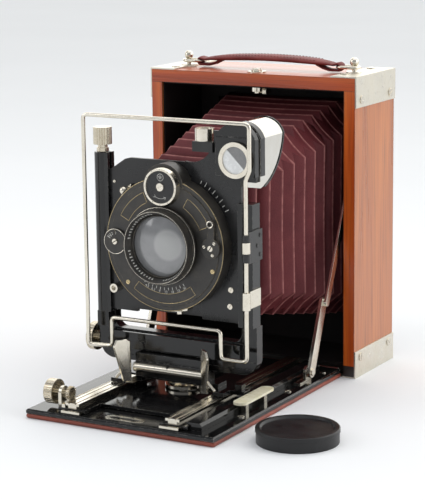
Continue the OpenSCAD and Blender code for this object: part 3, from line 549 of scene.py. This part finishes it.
def numbers(name, labels, centre, y, radius, size, material, body):
    """Numbers round a circle on a face turned to -Y. labels are (angle in degrees, text)."""
    parts = []
    for angle, label in labels:
        curve = bpy.data.curves.new(name, "FONT")
        curve.body = label
        curve.size = size
        curve.align_x = "CENTER"
        curve.align_y = "CENTER"
        curve.extrude = 0.04
        text = bpy.data.objects.new(name + "_text", curve)
        bpy.context.scene.collection.objects.link(text)
        bpy.context.view_layer.update()
        mesh = bpy.data.meshes.new_from_object(text.evaluated_get(bpy.context.evaluated_depsgraph_get()))
        a = math.radians(angle)
        upright = 1 if math.cos(a) > 0 else -1
        points = []
        for vertex in mesh.vertices:
            x = vertex.co.x * upright
            z = vertex.co.y * upright + radius
            points.append((centre[0] + x * math.cos(a) + z * math.sin(a), y - vertex.co.z,
                           centre[1] - x * math.sin(a) + z * math.cos(a)))
        parts.append((points, [tuple(p.vertices) for p in mesh.polygons]))
        bpy.data.objects.remove(text)
        bpy.data.curves.remove(curve)
        bpy.data.meshes.remove(mesh)
    points, faces = joined(parts)
    return piece(name, points, faces, material, body, smooth=False)


# ---------------------------------------------------------------- bellows

BELLOWS_FRONT = -3.9
BELLOWS_REAR = 118.5
RIDGES = [5.8, 17, 29, 40.5, 51, 61, 70.5, 79.5, 88, 96, 104, 111.5]


def bellows_sections():
    """(place along Y, how far it is a ridge, inset, corner cut) for each section."""
    sections = [(BELLOWS_FRONT, 0.0, 1.0, 9.0)]
    for i, ridge in enumerate(RIDGES):
        deep = 4.6 if i else 2.5
        before = RIDGES[i - 1] if i else BELLOWS_FRONT
        if i:
            sections.append(((before + ridge) / 2, 0.0, deep, 4.5))
        for step, inset, share in ((-0.4, 0.2, 0.86), (0.0, -0.1, 1.0), (0.4, 0.2, 0.86)):
            sections.append((ridge + step, share, inset, 13.0))
    sections.append(((RIDGES[-1] + BELLOWS_REAR) / 2, 0.0, 3.0, 6.0))
    sections.append((BELLOWS_REAR, 0.3, 0.5, 12.0))
    return sections


def bellows_outline(y, inset, cut, sag):
    """The points round one section: straight sides that sag a little, and cut corners."""
    share = (y - BELLOWS_FRONT) / (BELLOWS_REAR - BELLOWS_FRONT)
    half = 31.5 + 17.2 * share - inset
    bottom = 48.5 - 23 * share + inset
    top = 122.5 + 26 * share - inset
    corners = [(half, bottom + cut), (half, top - cut), (half - cut, top), (cut - half, top),
               (-half, top - cut), (-half, bottom + cut), (cut - half, bottom), (half - cut, bottom)]
    steps = [12, 4, 8, 4, 12, 4, 8, 4]
    middle_z = (bottom + top) / 2
    points = []
    for i, corner in enumerate(corners):
        after = corners[(i + 1) % 8]
        for k in range(steps[i]):
            t = k / steps[i]
            x = corner[0] + (after[0] - corner[0]) * t
            z = corner[1] + (after[1] - corner[1]) * t
            pull = sag * math.sin(math.pi * t)
            if i % 2:
                pull *= 1.6
            out = Vector((x, z - middle_z)).normalized()
            points.append((x - out.x * pull, y, z - out.y * pull))
    return points


def make_bellows(name, start, end):
    """The pleats between two places along Y, as an open skin with a little thickness."""
    points, ridge, rings = [], [], 0
    for y, share, inset, cut in SECTIONS:
        if start - 0.01 <= y <= end + 0.01:
            loop = bellows_outline(y, inset, cut, 0.5 if share else 0.15)
            points += loop
            ridge += [share] * len(loop)
            rings += 1
    around = len(points) // rings
    faces = [(i * around + j, i * around + (j + 1) % around,
              (i + 1) * around + (j + 1) % around, (i + 1) * around + j)
             for i in range(rings - 1) for j in range(around)]
    made = piece(name, points, faces, BELLOWS, None, angle=25)
    made.data.attributes.new("ridge", "FLOAT", "POINT").data.foreach_set("value", ridge)
    skin = made.modifiers.new("thickness", "SOLIDIFY")
    skin.thickness = 0.5 * MM
    skin.offset = -1
    return made


def cut_place(near):
    """The valley section nearest to a place along Y."""
    return min((s[0] for s in SECTIONS if s[1] == 0.0), key=lambda y: abs(y - near))


SECTIONS = bellows_sections()
RISE_END = cut_place(11.4)
CROSS_END = cut_place(23)
FOCUS_START = cut_place(84)

rise_fold = make_bellows("bellows_collar", BELLOWS_FRONT, RISE_END)
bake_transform(rise_fold)
cross_fold = make_bellows("bellows_neck", RISE_END, CROSS_END)
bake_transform(cross_fold)
slide_fold = make_bellows("bellows_front", CROSS_END, FOCUS_START)
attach(slide_fold, "focus_track")
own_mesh(slide_fold)
focus_fold = make_bellows("bellows_rear", FOCUS_START, BELLOWS_REAR)
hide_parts("bellows")
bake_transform(focus_fold)


# ---------------------------------------------------------------- handle

def make_strap():
    """The carrying strap: it narrows to each ring, wraps the wire and folds back under itself."""
    ring_wire_r = 0.9
    centre_y = middle("handle_rings").y
    wire_z = high("handle_rings").z - ring_wire_r
    reach = 40.0
    rise = 2.2
    top_z = wire_z + 1.1
    arch = []
    count = 40
    for i in range(count + 1):
        t = -1 + 2 * i / count
        arch.append((t * reach, top_z + rise * abs(math.cos(t * math.pi / 2)) ** 0.7))
    wrap = []
    for i in range(1, 8):
        a = math.radians(90 - 180 * i / 8)
        wrap.append((reach + 2.4 + 2.2 * math.cos(a), wire_z + 2.0 * math.sin(a)))
    under = [(38.0, wire_z - 1.9), (34.0, wire_z - 0.9), (30.0, wire_z + 1.0)]
    right = wrap + under
    left = [(-x, z) for x, z in reversed(right)]
    line = left + arch + right
    path = [Vector((x, centre_y, z)) for x, z in line]
    first, last = len(left), len(left) + count

    def outline(i):
        x = abs(line[i][0])
        on_top = first <= i <= last
        width = 6.9 - 2.9 * max(0.0, min(1.0, (x - 26) / 14)) ** 1.3 if on_top else 3.6
        thick = (1.75 - 0.9 * (x / reach) ** 4) if on_top else 0.8
        shape = []
        for k in range(20):
            a = 2 * math.pi * k / 20
            c, s = math.cos(a), math.sin(a)
            crown = 1.0 + 0.25 * math.cos(a * 2)
            shape.append((thick * math.copysign(abs(c) ** 0.7, c) * crown * 0.8,
                          width * math.copysign(abs(s) ** 0.6, s)))
        return shape

    points, faces = swept(path, outline)
    strap = piece("carrying_strap", points, faces, STRAP, "handle", angle=60)
    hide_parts("handle_strap")
    seams = []
    for side in (-1, 1):
        for i in range(4, count - 4):
            x, z = arch[i]
            wide = 6.9 - 2.9 * max(0.0, min(1.0, (abs(x) - 26) / 14)) ** 1.3
            y = centre_y + side * (wide - 1.2)
            lift = z + 1.6 - 0.9 * (abs(x) / reach) ** 4
            seams.append(block((x - 0.5, y - 0.16, lift - 0.25), (x + 0.5, y + 0.16, lift + 0.02)))
    points, faces = joined(seams)
    piece("strap_stitches", points, faces, STRAP, "handle", smooth=False)


make_strap()


# ---------------------------------------------------------------- wire frame

def make_wire_frame():
    """The wire finder, bent from one rod."""
    wire_r = 1.1
    left = low("wire_frame").x + wire_r
    right = 48.0
    left_leg, right_leg = -32.3, 33
    notch = 45.2
    jog_low, jog_high = 123.5, 128.5
    jog = high("wire_frame").x - wire_r
    top = high("wire_frame").z - wire_r
    bottom = low("wire_frame").z + wire_r
    corners = [(right, bottom + 1.5), (right, jog_low), (jog, jog_high), (jog, top), (left, top),
               (left, bottom), (left_leg, bottom + 1), (left_leg, notch), (right_leg, notch),
               (right_leg, bottom + 1.5)]
    path = rounded_path([(x, wire_y, z) for x, z in corners], 2.6)
    wire = tube("wire_finder", path, wire_r, BODY_NICKEL, "wire_frame", True, 16)
    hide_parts("wire_frame")


make_wire_frame()


# ---------------------------------------------------------------- shutter and lens details

def frame_round(radii, angles, y, thick=0.16):
    """The raised edge of a plain plate that follows the rim, between two radii and two angles."""
    centre = (lens.x, lens.z)
    outer = arc(centre, y, radii[1], angles[0], angles[1], 16)
    inner = arc(centre, y, radii[0], angles[1], angles[0], 16)
    outline = circle(thick, 6)
    return swept(outer + inner, lambda i: outline, True)


def shutter_details():
    centre = (lens.x, lens.z)
    body, slot = "lens_board", "brass"
    rim = 34.6
    ring("shutter_edge", centre, face_y + 0.5, rim - 0.1, 0.16, TRIM_BRASS, body, slot, steps=96)
    plates = [frame_round((23.5, 29), (-62, -24), face_y), frame_round((23.5, 29), (30, 66), face_y),
              frame_round((25.5, 30.5), (143, 217), face_y)]
    points, faces = joined(plates)
    piece("blank_plates", points, faces, TRIM_BRASS, body)
    ticks = [spoke(centre, board_y, 36, 37.6 + (i % 2), math.radians(28 + 4.5 * i), 0.35)
             for i in range(8)]
    ticks += [spoke(centre, face_y, 22.2, 23.6, math.radians(150 + 6 * i), 0.3) for i in range(11)]
    points, faces = joined(ticks)
    piece("shutter_ticks", points, faces, MARK, body, smooth=False)
    scale = ["4.5", "6.3", "9", "12", "18", "25", "36"]
    labels = [(205 - 9 * i, text) for i, text in enumerate(scale)]
    numbers("stop_numbers", labels, centre, face_y, 24.6, 1.9, MARK, body)


def barrel_details():
    centre = (lens.x, lens.z)
    body = "lens_board"
    front = low("lens_barrel").y
    ring("barrel_rim", centre, front + 0.05, 18.55, 0.12, BODY_NICKEL, body, "nickel", steps=96)
    ring("barrel_back_rim", centre, front + 5.3, 20.0, 0.18, BODY_NICKEL, body, "nickel", steps=96)
    ring("glass_retainer", centre, front + 4.3, 15.95, 0.35, BARREL, body, "shutter_enamel", steps=96)
    ticks = []
    for i in range(64):
        if i % 16 in (0, 1, 15):
            continue
        a = 2 * math.pi * i / 64
        size = 0.9 + 0.4 * ((i * 7) % 3)
        points, faces = block((-0.3, -0.06, -size / 2), (0.3, 0.06, size / 2))
        c, s = math.cos(a), math.sin(a)
        radius = 17.2
        turned = []
        for x, d, z in points:
            r = radius + z * 0.35 - d
            turned.append((centre[0] + x * c + r * s, front + 2.2 - z * 0.93, centre[1] - x * s + r * c))
        ticks.append((turned, faces))
    points, faces = joined(ticks)
    piece("barrel_ticks", points, faces, MARK, body, smooth=False)


def dial_details():
    centre = (dial.x, dial.z)
    body = "speed_dial"
    disc = [Vector((centre[0], dial_face, centre[1]))] + arc(centre, dial_face, 8.35, 0, 360, 48)[:-1]
    faces = [(0, 1 + (i + 1) % 48, 1 + i) for i in range(48)]
    piece("dial_face", disc, faces, SATIN, body, smooth=False)
    parts = []
    outline = circle(0.12, 6)
    wheel = (centre[0], centre[1] + 5.0)
    parts.append(swept(arc(wheel, dial_face, 1.8, 0, 360, 24)[:-1], lambda i: outline, True))
    for k in range(5):
        parts.append(spoke(wheel, dial_face, 0.2, 1.2, math.radians(72 * k), 0.22))
    parts.append(swept(arc(centre, dial_face, 6.0, 152, 208, 16), lambda i: outline))
    for angle, way in ((150, 1), (210, -1)):
        for lean in (-35, 35):
            tip = arc(centre, dial_face, 6.0, angle, angle, 1)[0]
            a = math.radians(angle + 90 * way + lean)
            end = tip - Vector((math.sin(a), 0, math.cos(a))) * -1.3 * way
            parts.append(swept([tip, tip + (end - tip)], lambda i: outline))
    points, faces = joined(parts)
    piece("dial_marks", points, faces, MARK, body)
    rim_y = low("speed_dial").y + 0.11
    ticks = [spoke(centre, rim_y, 8.7, 9.3, math.radians(30 * i), 0.25, 0.05) for i in range(12)]
    points, faces = joined(ticks)
    piece("dial_ticks", points, faces, SATIN, body, smooth=False)


def mode_details():
    centre = (mode.x, mode.z)
    top = mode_face
    ring("mode_ring", centre, top, 6.5, 0.2, BODY_NICKEL, "mode_dial", "nickel")
    ticks = [spoke(centre, top, 3.2, 5.2, math.radians(a), 0.3) for a in (-60, -38)]
    points, faces = joined(ticks)
    piece("mode_ticks", points, faces, MARK, "mode_dial", smooth=False)
    labels = [(-50, "1"), (-22, "2"), (6, "3")]
    numbers("mode_numbers", labels, centre, top, 4.3, 2.0, MARK, "mode_dial")


def slotted_head(centre, y, radius, thick, slot_angle):
    """A slotted screw head facing -Y: two halves with a gap between them."""
    parts = []
    for half in (0, 180):
        rim = arc(centre, y, radius, slot_angle + half + 8, slot_angle + half + 172, 12)
        count = len(rim)
        points = rim + [p + Vector((0, thick, 0)) for p in rim]
        faces = [tuple(range(count)), tuple(range(2 * count - 1, count - 1, -1))]
        faces += [(i, i + count, (i + 1) % count + count, (i + 1) % count) for i in range(count)]
        parts.append((points, faces))
    return joined(parts)


def lever_details():
    """Bright screws on the cocking lever and the mode dial, and the lever's ring."""
    hub_r = 5.2
    screw_circle = 3.6
    hub = Vector((middle("cocking_lever").x, 0, low("cocking_lever").z + hub_r))
    screw_y = face_y - 1.82
    heads = []
    for turn in (0, 120, 240):
        a = math.radians(turn + 20)
        place = (hub.x + screw_circle * math.sin(a), hub.z - screw_circle * math.cos(a))
        heads.append(slotted_head(place, screw_y, 0.85, 0.3, turn))
    heads.append(slotted_head((hub.x, hub.z), screw_y, 1.5, 0.5, 35))
    points, faces = joined(heads)
    piece("lever_screws", points, faces, BODY_NICKEL, "cocking_lever", smooth=False)
    tip = (hub.x + 0.8, hub.z + 12.7)
    ring("lever_ring", tip, low("cocking_lever").y + 0.1, 1.6, 0.4, BODY_NICKEL, "cocking_lever", "nickel",
         steps=24)
    points, faces = slotted_head((mode.x, mode.z), mode_face - 0.55, 1.5, 0.3, 60)
    piece("mode_screw", points, faces, BODY_NICKEL, "mode_dial", smooth=False)


shutter_details()
lever_details()
barrel_details()
dial_details()
mode_details()


# ---------------------------------------------------------------- light and floor

def area_light(name, place, target, size, power, colour=(1, 1, 1)):
    data = bpy.data.lights.new(name, "AREA")
    data.shape = "RECTANGLE"
    data.size, data.size_y = size
    data.energy = power
    data.color = colour
    lamp = bpy.data.objects.new(name, data)
    lamp.location = place
    lamp.rotation_mode = "QUATERNION"
    lamp.rotation_quaternion = (Vector(target) - Vector(place)).to_track_quat("-Z", "Y")
    bpy.context.scene.collection.objects.link(lamp)


def make_stage():
    """A pale floor, and soft light from above and both sides."""
    size = 12
    mesh = bpy.data.meshes.new("floor")
    corners = [(-size, -size, 0), (size, -size, 0), (size, size, 0), (-size, size, 0)]
    mesh.from_pydata(corners, [], [(0, 1, 2, 3)])
    floor = bpy.data.objects.new("floor", mesh)
    paper = Surface("paper", Roughness=0.9, Specular_IOR_Level=0.1)
    mesh.materials.append(paper.finish(Base_Color=paper.ramp(paper.noise(3), (0.3, (0.84, 0.85, 0.865)),
                                                            (0.7, (0.86, 0.87, 0.885)))))
    bpy.context.scene.collection.objects.link(floor)
    world = bpy.data.worlds.new("studio")
    world.use_nodes = True
    tree = world.node_tree
    parts = tree.nodes.new("ShaderNodeSeparateXYZ")
    tree.links.new(tree.nodes.new("ShaderNodeTexCoord").outputs["Generated"], parts.inputs[0])
    shade = tree.nodes.new("ShaderNodeValToRGB")
    tree.links.new(parts.outputs["Y"], shade.inputs["Fac"])
    front, back = shade.color_ramp.elements
    front.position, front.color = 0.0, (0.30, 0.31, 0.33, 1)
    back.position, back.color = 0.45, (1.40, 1.40, 1.36, 1)
    sky = tree.nodes["Background"]
    tree.links.new(shade.outputs["Color"], sky.inputs["Color"])
    sky.inputs["Strength"].default_value = 1.25
    bpy.context.scene.world = world
    target = (0, 0.03, 0.08)
    area_light("top", (0.1, -0.1, 1.3), target, (1.4, 1.2), 5)
    area_light("right", (1.3, 0.15, 0.55), target, (0.9, 1.1), 5)
    area_light("left", (-1.1, -0.8, 0.7), target, (0.8, 1.0), 5)
    bpy.context.scene.view_settings.view_transform = "Standard"


make_stage()
